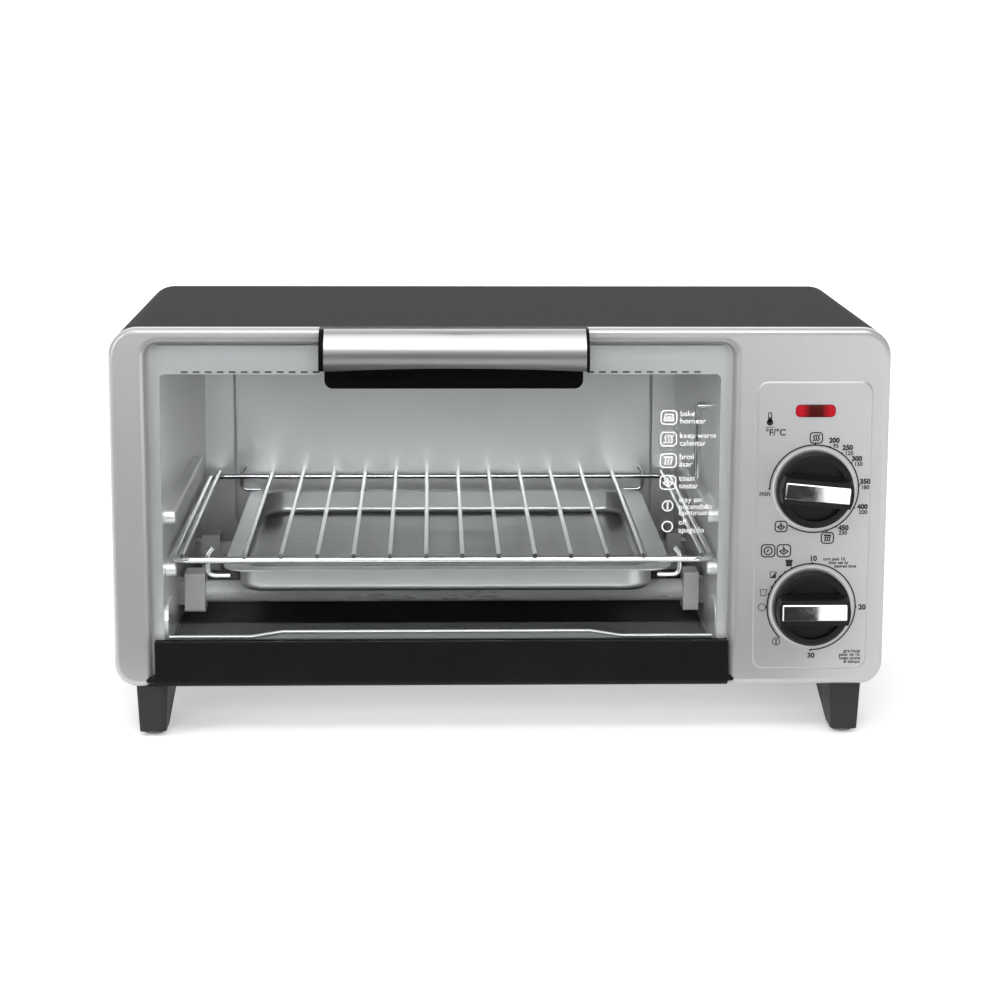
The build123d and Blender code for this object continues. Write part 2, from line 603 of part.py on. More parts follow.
def knob(centre_z, tilt):
    """Round knob with a raised grip bar between two scooped segments, the bar tilted clockwise."""
    rod_y(KNOB_X, centre_z, -6.4, -1.3, KNOB_R)
    fillet(faces().sort_by(Axis.Y)[0].edges(), 2.0)
    with BuildSketch(at_depth(-4.4)) as grip:
        with Locations((KNOB_X, centre_z)):
            Circle(KNOB_R - 0.6)
        with Locations((KNOB_X, centre_z)):
            Rectangle(40, 13.6, rotation=-tilt, mode=Mode.INTERSECT)
    extrude(grip.sketch, amount=9.0, taper=4.5)
    # scooped segments above and below the grip
    for side in (1, -1):
        with BuildSketch(at_depth(-6.4)) as scoop:
            with Locations((KNOB_X, centre_z)):
                Circle(SCOOP_R)
            with Locations(Location((KNOB_X, centre_z), -tilt) * Location((0, side * 18.0))):
                Rectangle(40, 22, mode=Mode.INTERSECT)
        extrude(scoop.sketch, amount=-2.8, mode=Mode.SUBTRACT)
    # pocket for the bright insert, and the bore for the shaft
    with BuildSketch(at_depth(-12.6)) as pocket:
        with Locations((KNOB_X, centre_z)):
            RectangleRounded(INSERT_L + 0.1, INSERT_W + 0.1, 1.0, rotation=-tilt)
    extrude(pocket.sketch, amount=5, mode=Mode.SUBTRACT)
    rod_y(KNOB_X, centre_z, -9.0, 0, SHAFT_R + 0.02, mode=Mode.SUBTRACT)


KNOBS = {"temperature": (TEMPERATURE_Z, 5.5), "timer": (TIMER_Z, 0)}
for knob_name, (knob_z, knob_tilt) in KNOBS.items():
    with BuildPart() as one_knob:
        knob(knob_z, knob_tilt)
    save(one_knob, f"{knob_name}_knob")
    with BuildPart() as insert:
        with BuildSketch(at_depth(-12.6)):
            with Locations((KNOB_X, knob_z)):
                RectangleRounded(INSERT_L, INSERT_W, 0.95, rotation=-knob_tilt)
        extrude(amount=1.3)
        chamfer(insert.faces().sort_by(Axis.Y)[0].edges(), 0.8)
    save(insert, f"{knob_name}_knob_insert")
    with BuildPart() as shaft:
        rod_y(KNOB_X, knob_z, -8.9, 15.5, SHAFT_R)
    save(shaft, f"{knob_name}_shaft")
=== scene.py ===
import json
import math
import bpy
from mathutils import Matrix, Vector


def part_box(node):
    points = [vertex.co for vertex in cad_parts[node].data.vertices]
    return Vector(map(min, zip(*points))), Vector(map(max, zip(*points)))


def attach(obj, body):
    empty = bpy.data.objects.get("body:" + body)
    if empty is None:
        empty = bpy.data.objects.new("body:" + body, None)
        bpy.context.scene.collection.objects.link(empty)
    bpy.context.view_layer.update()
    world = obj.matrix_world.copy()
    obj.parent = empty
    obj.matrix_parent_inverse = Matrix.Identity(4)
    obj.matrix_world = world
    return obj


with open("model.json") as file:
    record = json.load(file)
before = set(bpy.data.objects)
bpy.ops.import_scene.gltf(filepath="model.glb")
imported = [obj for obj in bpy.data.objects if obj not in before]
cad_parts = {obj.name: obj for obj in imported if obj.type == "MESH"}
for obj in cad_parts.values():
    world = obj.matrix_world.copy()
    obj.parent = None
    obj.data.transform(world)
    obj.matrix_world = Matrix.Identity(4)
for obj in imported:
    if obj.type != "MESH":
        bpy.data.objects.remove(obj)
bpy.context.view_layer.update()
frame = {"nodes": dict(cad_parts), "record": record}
MM = 0.001
NODES = frame["nodes"]

# Reference planes and points, in metres
GLASS_LOW, GLASS_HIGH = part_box("door_glass")
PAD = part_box("front_bezel")[0].y
TEMPERATURE = (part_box("temperature_knob")[0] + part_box("temperature_knob")[1]) / 2
TIMER = (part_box("timer_knob")[0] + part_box("timer_knob")[1]) / 2
PRINT_THICKNESS = 0.02 * MM
PAD_PRINT_Y = PAD - 0.03 * MM
RECESS_PRINT_Y = GLASS_HIGH.y + 1.28 * MM  # on the frame behind the glass


# ---------------------------------------------------------------- materials

class Shader:
    """Node material around one Principled shader, with short calls for the textures it needs."""

    def __init__(self, name, color, metallic=0.0, roughness=0.5, **sockets):
        self.material = bpy.data.materials.new(name)
        self.material.use_nodes = True
        self.tree = self.material.node_tree
        self.bsdf = self.tree.nodes["Principled BSDF"]
        self.bsdf.inputs["Base Color"].default_value = (*color, 1.0)
        self.bsdf.inputs["Metallic"].default_value = metallic
        self.bsdf.inputs["Roughness"].default_value = roughness
        for key, value in sockets.items():
            self.bsdf.inputs[key.replace("_", " ")].default_value = value
        self.color = color
        self.coordinates = self.tree.nodes.new("ShaderNodeTexCoord").outputs["Object"]
        self.height = None

    def node(self, kind, **inputs):
        """New node of a kind, with its inputs linked or set."""
        made = self.tree.nodes.new("ShaderNode" + kind)
        for key, value in inputs.items():
            self.put(made.inputs[key.replace("_", " ")], value)
        return made

    def put(self, socket, value):
        if isinstance(value, bpy.types.NodeSocket):
            self.tree.links.new(value, socket)
        else:
            socket.default_value = value

    def noise(self, scale, stretch=(1, 1, 1), detail=3.0, roughness=0.55):
        """Noise over the piece; stretch below 1 draws it out along that axis."""
        mapping = self.node("Mapping", Vector=self.coordinates)
        mapping.inputs["Scale"].default_value = stretch
        made = self.node("TexNoise", Vector=mapping.outputs[0], Scale=scale, Detail=detail,
                         Roughness=roughness)
        return made.outputs["Fac"]

    def spread(self, value, low, high, out_low, out_high):
        """Maps a value from one range to another, clamped at both ends."""
        made = self.node("MapRange", Value=value)
        for index, number in enumerate((low, high, out_low, out_high)):
            made.inputs[index + 1].default_value = number
        return made.outputs[0]

    def rough(self, value, low, high, span=(0.35, 0.65)):
        self.put(self.bsdf.inputs["Roughness"], self.spread(value, *span, low, high))

    def tint(self, factor, other):
        """Mixes the base colour towards another by a factor."""
        mix = self.tree.nodes.new("ShaderNodeMix")
        mix.data_type = "RGBA"
        colors = [s for s in mix.inputs if s.type == "RGBA"]
        self.put(mix.inputs[0], factor)
        current = self.bsdf.inputs["Base Color"]
        if current.is_linked:
            self.put(colors[0], current.links[0].from_socket)
        else:
            colors[0].default_value = (*self.color, 1.0)
        colors[1].default_value = (*other, 1.0)
        self.put(current, [s for s in mix.outputs if s.type == "RGBA"][0])

    def bump(self, value, strength, distance):
        """Adds relief on top of what is already there."""
        made = self.node("Bump", Strength=strength, Distance=distance, Height=value)
        if self.height is not None:
            self.put(made.inputs["Normal"], self.height)
        self.height = made.outputs[0]
        self.put(self.bsdf.inputs["Normal"], self.height)

    def axis(self, name):
        """The X, Y or Z of each point in the row frame at rest."""
        return self.node("SeparateXYZ", Vector=self.coordinates).outputs[name]


def silver_paint():
    s = Shader("silver_paint", (0.455, 0.455, 0.465), metallic=0.55, roughness=0.34, Coat_Weight=0.3,
               Coat_Roughness=0.15)
    s.tint(s.spread(s.noise(9, detail=4), 0.35, 0.7, 0, 0.25), (0.425, 0.425, 0.435))
    s.rough(s.noise(24, detail=5), 0.32, 0.37)
    s.bump(s.noise(2600, detail=2), 0.10, 0.00012)
    s.bump(s.noise(260, detail=2), 0.05, 0.0003)
    return s.material


def case_paint():
    s = Shader("black_case_paint", (0.018, 0.018, 0.0187), roughness=0.6, Specular_IOR_Level=0.03)
    s.rough(s.noise(900, detail=3), 0.56, 0.64)
    s.tint(s.spread(s.noise(300, detail=6), 0.45, 0.75, 0, 0.3), (0.030, 0.030, 0.031))
    s.bump(s.noise(1500, detail=2), 0.22, 0.00016)
    return s.material


def sheet_metal(name, color, low, high, streak, stretch, bump=0.06, metallic=0.9):
    """Plain or aluminised sheet, with rolling streaks along one axis and faint blotches."""
    s = Shader(name, color, metallic=metallic, roughness=low)
    darker = tuple(c * 0.82 for c in color)
    lighter = tuple(min(1, c * 1.1) for c in color)
    s.tint(s.spread(s.noise(18, detail=5), 0.4, 0.72, 0, 0.15), darker)
    s.tint(s.spread(s.noise(streak, stretch, detail=4), 0.42, 0.7, 0, 0.12), lighter)
    s.rough(s.noise(streak * 0.7, stretch, detail=5), low, high)
    s.bump(s.noise(streak, stretch, detail=3), bump, 0.0001)
    return s


def brushed_fascia():
    s = Shader("brushed_fascia", (0.61, 0.61, 0.615), metallic=1.0, roughness=0.36, Anisotropic=0.4)
    brushing = s.noise(900, (0.012, 1, 1), detail=6, roughness=0.7)
    s.tint(s.spread(brushing, 0.35, 0.7, 0, 0.7), (0.46, 0.46, 0.465))
    s.rough(s.noise(700, (0.01, 1, 1), detail=5), 0.32, 0.42)
    s.bump(s.noise(1400, (0.008, 1, 1), detail=4), 0.14, 0.00005)
    return s.material


def chrome(name, low, high, color=(0.80, 0.80, 0.81)):
    s = Shader(name, color, metallic=1.0, roughness=low)
    s.rough(s.noise(160, detail=4), low, high)
    s.tint(s.spread(s.noise(70, detail=4), 0.5, 0.75, 0, 0.4), tuple(c * 0.75 for c in color))
    return s.material


def plastic(name, color, low, high, grain, bump, specular=0.5):
    s = Shader(name, color, roughness=low, Specular_IOR_Level=specular)
    s.rough(s.noise(90, detail=4), low, high)
    s.tint(s.spread(s.noise(35, detail=5), 0.5, 0.78, 0, 0.5), tuple(c * 1.35 + 0.001 for c in color))
    s.bump(s.noise(grain, detail=2), bump, 0.00012)
    return s.material


def door_glass():
    s = Shader("door_glass", (0.955, 0.975, 0.965), roughness=0.0, IOR=1.46, Transmission_Weight=1.0)
    s.rough(s.noise(40, detail=5), 0.0, 0.025, span=(0.5, 0.8))
    return s.material


def quartz():
    s = Shader("quartz_tube", (0.86, 0.86, 0.86), roughness=0.32, IOR=1.46, Transmission_Weight=0.55)
    s.rough(s.noise(300, (0.08, 1, 1), detail=4), 0.25, 0.42)
    s.bump(s.noise(500, (0.05, 1, 1), detail=3), 0.1, 0.0001)
    return s.material


def red_lens():
    """Red at both ends and dark in the middle, with fine upright ridges."""
    s = Shader("red_lens", (0.34, 0.004, 0.012), roughness=0.12, Specular_IOR_Level=0.12)
    low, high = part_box("indicator_lens")
    off = s.node("Math", Value=s.axis("X"))
    off.operation = "SUBTRACT"
    off.inputs[1].default_value = (low.x + high.x) / 2
    away = s.node("Math", Value=off.outputs[0])
    away.operation = "ABSOLUTE"
    s.tint(s.spread(away.outputs[0], 2.6 * MM, 6.6 * MM, 1, 0), (0.05, 0.0015, 0.001))
    s.bump(s.noise(3000, (1, 0.02, 0.02), detail=1), 0.35, 0.0002)
    return s.material


def pan_coating():
    """Bright pressed sheet, with painted shade darkening the floor of the pan."""
    s = sheet_metal("pan_coating", (0.60, 0.60, 0.605), 0.28, 0.33, 500, (0.05, 1, 1), 0.01, 0.75)
    inside_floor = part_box("bake_pan")[0].z + 0.8 * MM
    # painted shade: the floor of the pan is tinted dark, as if in shadow
    s.tint(s.spread(s.axis("Z"), inside_floor + 0.2 * MM, inside_floor + 1.6 * MM, 1, 0), (0.12, 0.12, 0.121))
    return s.material


def tray_coating():
    """Dark baked coating, with a painted highlight along the lip's top edge: a light metallic band."""
    s = Shader("tray_coating", (0.006, 0.0065, 0.0065), roughness=0.45, Specular_IOR_Level=0.06)
    s.rough(s.noise(60, detail=5), 0.35, 0.41)
    # painted highlight: the lip's top edge is tinted light and made metallic, standing in for the light it
    # catches
    rim_highlight = s.spread(s.axis("Z"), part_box("crumb_tray")[1].z - 4.6 * MM,
                   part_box("crumb_tray")[1].z - 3.6 * MM, 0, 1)
    s.tint(rim_highlight, (0.55, 0.56, 0.56))
    s.put(s.bsdf.inputs["Metallic"], rim_highlight)
    s.bump(s.noise(1600, detail=2), 0.02, 0.00005)
    return s.material


def ink(name, color):
    s = Shader(name, color)
    s.tint(s.spread(s.noise(900, detail=3), 0.45, 0.7, 0, 0.25), tuple(min(1, c * 0.8 + 0.01) for c in color))
    return s.material


MATERIALS = {
    "silver_paint": silver_paint(),
    "black_case_paint": case_paint(),
    "bare_steel": sheet_metal("bare_steel", (0.52, 0.52, 0.53), 0.30, 0.46, 240, (0.03, 1, 1)).material,
    "cavity_sheet": sheet_metal(
        "cavity_sheet", (0.86, 0.86, 0.86), 0.29, 0.31, 900, (1, 1, 0.02), bump=0.008, metallic=0.6,
    ).material,
    "quartz_tube": quartz(),
    "ceramic": plastic("ceramic", (0.50, 0.50, 0.49), 0.55, 0.75, 1200, 0.25),
    "bright_wire": chrome("bright_wire", 0.12, 0.24, (0.90, 0.90, 0.91)),
    "foot_plastic": plastic("foot_plastic", (0.030, 0.030, 0.032), 0.45, 0.58, 2600, 0.25, 0.12),
    "pad_rubber": plastic("pad_rubber", (0.24, 0.24, 0.25), 0.7, 0.85, 1400, 0.2),
    "control_body": plastic("control_body", (0.30, 0.18, 0.08), 0.5, 0.65, 900, 0.15),
    "control_metal": sheet_metal("control_metal", (0.55, 0.55, 0.55), 0.28, 0.4, 200, (1, 1, 1)).material,
    "bell_brass": chrome("bell_brass", 0.2, 0.32, (0.62, 0.60, 0.55)),
    "red_lens": red_lens(),
    "lamp_glass": plastic("lamp_glass", (0.75, 0.35, 0.2), 0.12, 0.2, 500, 0.02),
    "wire_sleeve": plastic("wire_sleeve", (0.52, 0.50, 0.44), 0.6, 0.8, 2200, 0.5),
    "black_plastic": plastic("black_plastic", (0.002, 0.002, 0.0021), 0.36, 0.46, 2400, 0.18, 0.05),
    "screw_steel": chrome("screw_steel", 0.22, 0.36, (0.58, 0.58, 0.58)),
    "door_glass": door_glass(),
    "black_rail": plastic("black_rail", (0.008, 0.008, 0.008), 0.28, 0.36, 900, 0.04, 0.09),
    "brushed_fascia": brushed_fascia(),
    "pan_coating": pan_coating(),
    "tray_coating": tray_coating(),
    "knob_plastic": plastic("knob_plastic", (0.008, 0.008, 0.0084), 0.32, 0.42, 2200, 0.12, 0.22),
    "chrome_insert": chrome("chrome_insert", 0.03, 0.08, (0.86, 0.86, 0.87)),
}
for row in frame["record"]["subparts"]:
    node = NODES[row["node"]]
    node.data.materials.clear()
    node.data.materials.append(MATERIALS[row["material_slot"]])
NODES["door_glass"].visible_shadow = False  # daylight passes through the glass into the cavity

BLACK_INK = ink("black_ink", (0.010, 0.010, 0.011))
WHITE_INK = ink("white_ink", (0.86, 0.86, 0.86))
BRIGHT_RING = plastic("bright_ring", (0.50, 0.50, 0.51), 0.40, 0.44, 900, 0.0, 0.3)


# ---------------------------------------------------------------- printed marks

class Print:
    """Flat printed marks on a plane that faces the front. Points are (x, z) in mm, from a centre."""

    def __init__(self, centre_x, centre_z):
        self.centre = (centre_x, centre_z)
        self.points = []
        self.faces = []

    def add(self, points, faces):
        start = len(self.points)
        cx, cz = self.centre
        self.points += [(cx + x * MM, cz + z * MM) for x, z in points]
        self.faces += [[start + i for i in face] for face in faces]

    def line(self, points, width, closed=False):
        """Stroke along points, mitred at the corners."""
        count = len(points)
        left, right = [], []
        for i, (x, z) in enumerate(points):
            before = points[i - 1] if closed or i > 0 else points[i]
            after = points[(i + 1) % count] if closed or i < count - 1 else points[i]
            if not closed and i == 0:
                before = (2 * x - after[0], 2 * z - after[1])
            if not closed and i == count - 1:
                after = (2 * x - before[0], 2 * z - before[1])
            d1 = Vector((x - before[0], z - before[1])).normalized()
            d2 = Vector((after[0] - x, after[1] - z)).normalized()
            middle = (d1 + d2).normalized() if (d1 + d2).length > 1e-6 else d1
            reach = width / 2 / max(0.4, middle.dot(d1))
            left.append((x - middle.y * reach, z + middle.x * reach))
            right.append((x + middle.y * reach, z - middle.x * reach))
        last = count if closed else count - 1
        faces = [(i, (i + 1) % count, count + (i + 1) % count, count + i) for i in range(last)]
        self.add(left + right, faces)

    def arc(self, x, z, radius, start, end, width):
        """Stroke along an arc; angles are in degrees from the right, and 360 degrees close it."""
        steps = max(8, int(abs(end - start) / 3))
        full = abs(end - start) >= 360
        count = steps if full else steps + 1
        angles = [math.radians(start + (end - start) * i / steps) for i in range(count)]
        self.line([(x + radius * math.cos(a), z + radius * math.sin(a)) for a in angles], width, closed=full)

    def dot(self, x, z, radius):
        sides = 16
        angles = [2 * math.pi * i / sides for i in range(sides)]
        points = [(x + radius * math.cos(a), z + radius * math.sin(a)) for a in angles]
        self.add(points, [tuple(range(sides))])

    def frame(self, x, z, width, height, radius, stroke):
        """Outline of a rounded rectangle."""
        ring = []
        for sx, sz, first in ((1, 1, 0), (-1, 1, 90), (-1, -1, 180), (1, -1, 270)):
            for step in range(6):
                a = math.radians(first + step * 18)
                ring.append((x + sx * (width / 2 - radius) + radius * math.cos(a),
                             z + sz * (height / 2 - radius) + radius * math.sin(a)))
        self.line(ring, stroke, closed=True)

    def wave(self, x, z, height, width, lean=0.0):
        """Rising heat line."""
        points = []
        for i in range(13):
            t = i / 12
            sway = 0.16 * height * math.sin(t * math.pi * 2)
            points.append((x + lean * (t - 0.5) + sway, z + height * (t - 0.5)))
        self.line(points, width)

    def words(self, text, x, z, size, weight, align="CENTER"):
        """Lettering in the built-in font; size is in mm, and weight thickens the strokes."""
        curve = bpy.data.curves.new("lettering", "FONT")
        curve.body = text
        curve.size = size
        curve.align_x = align
        curve.align_y = "CENTER"
        curve.offset = weight * size
        curve.resolution_u = 3
        holder = bpy.data.objects.new("lettering", curve)
        bpy.context.scene.collection.objects.link(holder)
        bpy.context.view_layer.update()
        graph = bpy.context.evaluated_depsgraph_get()
        mesh = bpy.data.meshes.new_from_object(holder.evaluated_get(graph))
        points = [(x + v.co.x, z + v.co.y) for v in mesh.vertices]
        self.add(points, [tuple(p.vertices) for p in mesh.polygons])
        bpy.data.objects.remove(holder)
        bpy.data.meshes.remove(mesh)
        bpy.data.curves.remove(curve)

    def build(self, name, y, material, body):
        """One piece from all the marks, a thin layer at a given Y."""
        mesh = bpy.data.meshes.new(name)
        mesh.from_pydata([(x, y, z) for x, z in self.points], [], self.faces)
        mesh.update()
        made = bpy.data.objects.new(name, mesh)
        bpy.context.scene.collection.objects.link(made)
        mesh.materials.append(material)
        solid = made.modifiers.new("thickness", "SOLIDIFY")
        solid.thickness = PRINT_THICKNESS
        solid.offset = 0
        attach(made, body)


def waves_icon(p, x, z, w, h, stroke):
    p.frame(x, z, w, h, h * 0.28, stroke)
    for step in (-1, 0, 1):
        p.wave(x + step * w * 0.2, z, h * 0.62, stroke, lean=h * 0.28)


def broil_icon(p, x, z, w, h, stroke):
    p.frame(x, z, w, h, h * 0.28, stroke)
    p.line([(x - w * 0.3, z + h * 0.24), (x + w * 0.3, z + h * 0.24)], stroke * 1.5)
    for step in (-1, 0, 1):
        p.wave(x + step * w * 0.18, z - h * 0.1, h * 0.42, stroke, lean=h * 0.2)


def toast_icon(p, x, z, w, h, stroke):
    p.frame(x, z, w, h, h * 0.28, stroke)
    p.line([(x - w * 0.3, z - h * 0.05), (x, z - h * 0.3), (x + w * 0.3, z - h * 0.05), (x, z + h * 0.14)],
           stroke, closed=True)
    p.dot(x, z - h * 0.06, h * 0.09)
    p.wave(x, z + h * 0.22, h * 0.3, stroke)


def bake_icon(p, x, z, w, h, stroke):
    p.frame(x, z, w, h, h * 0.28, stroke)
    p.line([(x - w * 0.3, z - h * 0.24), (x - w * 0.23, z + h * 0.22), (x + w * 0.23, z + h * 0.22),
            (x + w * 0.3, z - h * 0.24)], stroke * 1.2, closed=True)
    p.line([(x - w * 0.15, z + h * 0.03), (x + w * 0.15, z + h * 0.03)], stroke)
    p.line([(x - w * 0.18, z - h * 0.11), (x + w * 0.18, z - h * 0.11)], stroke)


def clock_icon(p, x, z, w, h, stroke):
    p.frame(x, z, w, h, h * 0.28, stroke)
    p.arc(x, z, h * 0.32, 0, 360, stroke)
    p.line([(x, z + h * 0.16), (x, z), (x - h * 0.1, z - h * 0.1)], stroke)


DIAL_R = 21.1
ARC_WIDTH = 0.7
ICON_STROKE = 0.62
LEGEND_STROKE = 0.5
LEGEND_WORD = 3.8
SMALL_PRINT, SMALL_PRINT_STEP = 2.1, 1.75


def ticks(p, angles):
    """Dots on the arc around a knob, at angles in degrees from the right."""
    for angle in angles:
        a = math.radians(angle)
        p.dot((DIAL_R + 0.25) * math.cos(a), (DIAL_R + 0.25) * math.sin(a), 0.5)


def temperature_print():
    p = Print(TEMPERATURE.x, TEMPERATURE.z)
    p.arc(0, 0, DIAL_R, 180, -124.2, ARC_WIDTH)
    ticks(p, (180, 90, 70.7, 53.5, 35.3, 4.5, -25.6, -59.3, -72.3))
    for text, x, z in (("200", 9.0, 23.2), ("250", 15.4, 19.7), ("300", 19.9, 14.4), ("350", 24.1, 3.4),
                       ("400", 23.2, -8.8), ("450", 14.4, -19.0)):
        p.words(text, x, z, 3.255, weight=0.06)
    for text, x, z in (("95", 9.8, 20.6), ("120", 16.1, 17.0), ("150", 20.7, 11.8), ("180", 24.2, 0.6),
                       ("200", 23.6, -11.4), ("230", 14.2, -21.4)):
        p.words(text, x, z, 2.7, weight=0.035)
    p.words("min", -23.4, -2.3, 3.5, weight=0.025)
    waves_icon(p, 0.4, 24.5, 5.8, 5.0, ICON_STROKE)
    broil_icon(p, 6.9, -23.8, 5.8, 5.2, ICON_STROKE)
    toast_icon(p, -15.3, -18.2, 5.6, 5.0, ICON_STROKE)
    # thermometer over its two units
    p.words("°F/°C", -18.9, 27.0, 4.3, weight=0.025)
    p.line([(-23.8, 29.6), (-19.4, 29.6)], 0.28)
    p.frame(-21.7, 34.4, 1.5, 4.4, 0.74, 0.5)
    p.dot(-21.7, 31.9, 1.55)
    p.line([(-21.7, 31.9), (-21.7, 34.4)], 0.9)
    p.build("temperature_print", PAD_PRINT_Y, BLACK_INK, "casing")


def bread_slice(p, x, z, browned):
    """Outline of a slice of bread, none, half or all of it filled in."""
    outline = [(x - 1.25, z - 1.4), (x - 1.2, z + 0.4), (x - 1.6, z + 0.9), (x - 1.5, z + 1.5),
               (x + 1.5, z + 1.5), (x + 1.6, z + 0.9), (x + 1.2, z + 0.4), (x + 1.25, z - 1.4)]
    p.line(outline, 0.34, closed=True)
    if browned == "half":
        p.add([(x - 1.1, z - 1.3), (x + 1.15, z - 1.3), (x + 1.3, z + 1.3)], [(0, 1, 2)])
    if browned == "all":
        p.add(outline, [tuple(range(len(outline)))])


def timer_print():
    p = Print(TIMER.x, TIMER.z)
    p.arc(0, 0, DIAL_R, -90, 226, ARC_WIDTH)
    ticks(p, (180, 162.8, 153.2, 144.5, 135.8, 126.7, 117, 90, 0, -90))
    for text, x, z in (("10", 0.4, 23.5), ("20", 24.4, -0.3), ("30", 0.5, -24.0)):
        p.words(text, x, z, 3.5, weight=0.045)
    # off and always-on signs
    p.arc(-23.6, -0.2, 1.75, 0, 360, 0.35)
    p.arc(-16.4, -17.0, 1.75, 0, 360, 0.4)
    p.line([(-16.4, -18.4), (-16.4, -15.6)], 0.6)
    for x, z, browned in ((-23.0, 6.9, "none"), (-18.6, 15.6, "half"), (-11.1, 21.4, "all")):
        bread_slice(p, x, z, browned)
    clock_icon(p, -21.2, 27.4, 6.4, 5.9, ICON_STROKE)
    toast_icon(p, -13.7, 27.4, 6.4, 5.9, ICON_STROKE)
    for i, text in enumerate(("turn past 10,", "then set to", "desired time")):
        p.words(text, 5.2 + 2.6 * i, 23.3 - SMALL_PRINT_STEP * i, SMALL_PRINT, weight=0.03, align="LEFT")
    for i, text in enumerate(("gire hasta", "pasar de 10,", "luego ajuste", "el tiempo")):
        p.words(text, 24.2, -21.8 - SMALL_PRINT_STEP * i, SMALL_PRINT, weight=0.03, align="RIGHT")
    p.build("timer_print", PAD_PRINT_Y, BLACK_INK, "casing")


def knob_ring(name, centre):
    """Bright ring on the pad around a knob."""
    p = Print(centre.x, centre.z)
    p.arc(0, 0, 19.5, 0, 360, 0.9)
    p.build(name, PAD - PRINT_THICKNESS, BRIGHT_RING, "casing")


def window_dashes():
    """Row of short dashes along the upper edge of the window."""
    p = Print(0, 0)
    for i in range(44):
        x = -150 + 5.6 * i
        p.line([(x, 176.9), (x + 3.2, 176.9)], 0.8)
    p.build("window_dashes", RECESS_PRINT_Y, BLACK_INK, "casing")


def window_print():
    """Symbols and function names at the right of the glass."""
    p = Print(0, 0)
    icon_x, word_x = 78.9, 84.1
    for icon, z in ((bake_icon, 155.9), (waves_icon, 145.5), (broil_icon, 135.2), (toast_icon, 124.7)):
        icon(p, icon_x, z, 7.4, 6.5, LEGEND_STROKE)
    p.arc(icon_x, 113.4, 2.45, 0, 360, LEGEND_STROKE)
    p.line([(icon_x, 111.6), (icon_x, 115.2)], 0.7)
    p.arc(icon_x, 103.4, 2.45, 0, 360, LEGEND_STROKE)
    for text, z in (("bake", 157.6), ("hornear", 154.1), ("keep warm", 147.1), ("calentar", 143.5),
                    ("broil", 137.0), ("asar", 133.5), ("toast", 126.6), ("tostar", 123.0),
                    ("stay on", 116.3), ("encendido", 113.0), ("continuo", 110.0), ("off", 105.4),
                    ("apagado", 101.6)):
        p.words(text, word_x, z, LEGEND_WORD, weight=0.0, align="LEFT")
    p.build("window_print", GLASS_LOW.y - PRINT_THICKNESS, WHITE_INK, "door")


temperature_print()
timer_print()
knob_ring("temperature_ring", TEMPERATURE)
knob_ring("timer_ring", TIMER)
window_dashes()
window_print()


# ---------------------------------------------------------------- heater coils

COIL = chrome("heater_wire", 0.35, 0.5, (0.30, 0.28, 0.26))
COIL_TURNS = 64
COIL_STEPS = 8  # points in each turn
COIL_R = 3.3 * MM
COIL_WIRE_R = 0.35 * MM
COIL_INSET = 6 * MM  # bare length at each end of the tube


def heater_coil(name, low, high):
    """Resistance wire wound inside a quartz tube."""
    y, z = (low.y + high.y) / 2, (low.z + high.z) / 2
    start, end = low.x + COIL_INSET, high.x - COIL_INSET
    count = COIL_TURNS * COIL_STEPS + 1
    curve = bpy.data.curves.new(name, "CURVE")
    curve.dimensions = "3D"
    spline = curve.splines.new("POLY")
    spline.points.add(count - 1)
    for i in range(count):
        a = i / COIL_STEPS * 2 * math.pi
        x = start + (end - start) * i / (count - 1)
        spline.points[i].co = (x, y + COIL_R * math.cos(a), z + COIL_R * math.sin(a), 1)
    curve.bevel_depth = COIL_WIRE_R
    curve.bevel_resolution = 1
    made = bpy.data.objects.new(name, curve)
    bpy.context.scene.collection.objects.link(made)
    curve.materials.append(COIL)
    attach(made, "casing")


for tube in ("lower_front_element", "lower_rear_element", "upper_front_element", "upper_rear_element"):
    heater_coil(tube.replace("element", "coil"), *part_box(tube))


# ---------------------------------------------------------------- studio

def area(name, place, target, width, height, watts):
    """Softbox at a place, aimed at a target."""
    lamp = bpy.data.lights.new(name, "AREA")
    lamp.shape = "RECTANGLE"
    lamp.size, lamp.size_y = width, height
    lamp.energy = watts
    made = bpy.data.objects.new(name, lamp)
    bpy.context.scene.collection.objects.link(made)
    made.location = place
    made.rotation_euler = (Vector(target) - Vector(place)).to_track_quat("-Z", "Y").to_euler()
    return made


def studio_mesh(name, points, faces, shader):
    """Mesh of the studio, to be put on the stage."""
    mesh = bpy.data.meshes.new(name)
    mesh.from_pydata(points, [], faces)
    mesh.update()
    mesh.materials.append(shader.material)
    made = bpy.data.objects.new(name, mesh)
    bpy.context.scene.collection.objects.link(made)
    return made


def hide_from(made, rays):
    for ray in rays:
        setattr(made, "visible_" + ray, False)


area("top_softbox", (-0.1, -0.35, 1.35), (0, 0.0, 0.1), 1.5, 0.9, 7.5)
area("left_softbox", (-1.25, -0.85, 0.75), (0, -0.05, 0.12), 0.5, 1.2, 7.0)
area("right_softbox", (1.25, -0.75, 0.7), (0, -0.05, 0.1), 0.4, 1.1, 1.2)
area("high_softbox", (0.1, -1.3, 1.65), (-0.03, 0.05, 0.1), 1.4, 0.5, 12)
front_fill = area("front_fill", (-0.1, -1.75, 0.7), (-0.06, 0.05, 0.1), 1.2, 0.6, 15)
hide_from(front_fill, ("glossy",))

world = bpy.data.worlds.new("studio")
bpy.context.scene.world = world
world.use_nodes = True
background = world.node_tree.nodes["Background"]
background.inputs["Color"].default_value = (0.95, 0.96, 0.97, 1)
background.inputs["Strength"].default_value = 0.18

# Pale floor that curves up behind the oven. It glows less near the oven, where the shadow falls.
FLOOR_REACH = 9.0
CURVE_Y, CURVE_R, CURVE_STEPS = 3.0, 1.5, 12
BACKDROP_TOP = 8.0
GLOW_NEAR, GLOW_FAR = 0.35, 1.6  # distances from the oven between which the glow rises
FLOOR_GLOW, BACKDROP_GLOW = 0.30, 0.85


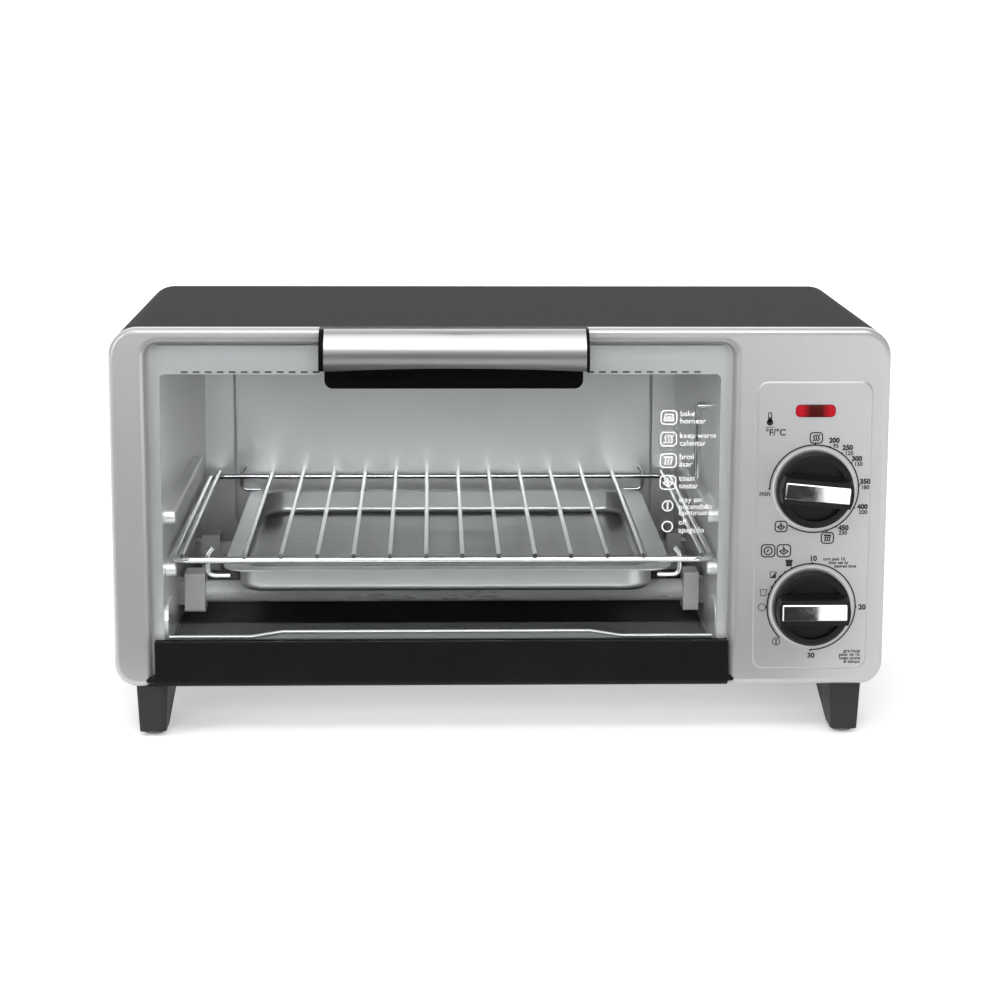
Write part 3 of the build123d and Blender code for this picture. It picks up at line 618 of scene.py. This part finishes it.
def floor_shader():
    s = Shader("floor", (0.90, 0.90, 0.90), roughness=0.55, Specular_IOR_Level=0.2)
    s.rough(s.noise(3, detail=3), 0.5, 0.6)
    away = s.node("VectorMath")
    away.operation = "LENGTH"
    s.put(away.inputs[0], s.coordinates)
    glow = s.spread(away.outputs["Value"], GLOW_NEAR, GLOW_FAR, FLOOR_GLOW, BACKDROP_GLOW)
    s.put(s.bsdf.inputs["Emission Strength"], glow)
    s.bsdf.inputs["Emission Color"].default_value = (1, 1, 1, 1)
    return s


profile = [(-FLOOR_REACH, 0.0), (CURVE_Y, 0.0)]
for step in range(1, CURVE_STEPS + 1):
    a = step / CURVE_STEPS * math.pi / 2
    profile.append((CURVE_Y + CURVE_R * math.sin(a), CURVE_R - CURVE_R * math.cos(a)))
profile.append((CURVE_Y + CURVE_R, BACKDROP_TOP))
n = len(profile)
floor = studio_mesh("floor", [(x, y, z) for x in (-FLOOR_REACH, FLOOR_REACH) for y, z in profile],
                    [(i, n + i, n + i + 1, i + 1) for i in range(n - 1)], floor_shader())
for polygon in floor.data.polygons:
    polygon.use_smooth = True

# Pale wall all round behind the floor. Only the camera sees it, so it adds no light.
WALL_R, WALL_SIDES = 8.6, 48
WALL_BOTTOM, WALL_TOP = -0.01, 9.0
wall_shader = Shader("wall", (0.90, 0.90, 0.90), roughness=0.6, Specular_IOR_Level=0.1)
wall_shader.bsdf.inputs["Emission Color"].default_value = (1, 1, 1, 1)
wall_shader.bsdf.inputs["Emission Strength"].default_value = 1.0
turns = [2 * math.pi * i / WALL_SIDES for i in range(WALL_SIDES)]
wall_faces = [(i, (i + 1) % WALL_SIDES, WALL_SIDES + (i + 1) % WALL_SIDES, WALL_SIDES + i)
              for i in range(WALL_SIDES)]
wall = studio_mesh("wall", [(WALL_R * math.cos(a), WALL_R * math.sin(a), z)
                            for z in (WALL_BOTTOM, WALL_TOP) for a in turns], wall_faces, wall_shader)
hide_from(wall, ("diffuse", "glossy", "shadow", "transmission"))

# Dark cards low in front of the oven. The camera doesn't see them: they darken what the oven reflects.
# The near one lies under the open door, so it isn't seen through the glass either.
CARD_Z = 0.004
card_shader = Shader("card", (0.02, 0.02, 0.021), roughness=0.9, Specular_IOR_Level=0.1)
CARDS = {
    "far_card": ([(-1.2, -0.30), (0.180, -0.30), (0.30, -1.0), (0.37, -1.45), (-1.2, -1.45)],
                 ("camera", "diffuse", "shadow")),
    "near_card": ([(-1.2, -0.17), (0.158, -0.17), (0.180, -0.30), (-1.2, -0.30)],
                  ("camera", "diffuse", "shadow", "transmission")),
}
for name, (corners, unseen_by) in CARDS.items():
    card = studio_mesh(name, [(x, y, CARD_Z) for x, y in corners], [tuple(range(len(corners)))], card_shader)
    hide_from(card, unseen_by)

bpy.context.scene.view_settings.view_transform = "Standard"


# ---------------------------------------------------------------- camera

CAMERA_PLACE = (-0.0325, -1.1992, 0.3465)
TILT_DOWN, ROLL, TURN_RIGHT = 9.46, 0.23, 1.63  # degrees
camera_data = bpy.data.cameras.new("camera")
camera_data.sensor_width = 36
camera_data.lens = 85.16
camera_data.shift_y = -0.1
camera_data.clip_start = 0.05
camera_data.clip_end = 100
camera = bpy.data.objects.new("camera", camera_data)
bpy.context.scene.collection.objects.link(camera)
camera.location = CAMERA_PLACE
camera.rotation_euler = (math.radians(90 - TILT_DOWN), math.radians(-ROLL), math.radians(-TURN_RIGHT))
bpy.context.scene.camera = camera
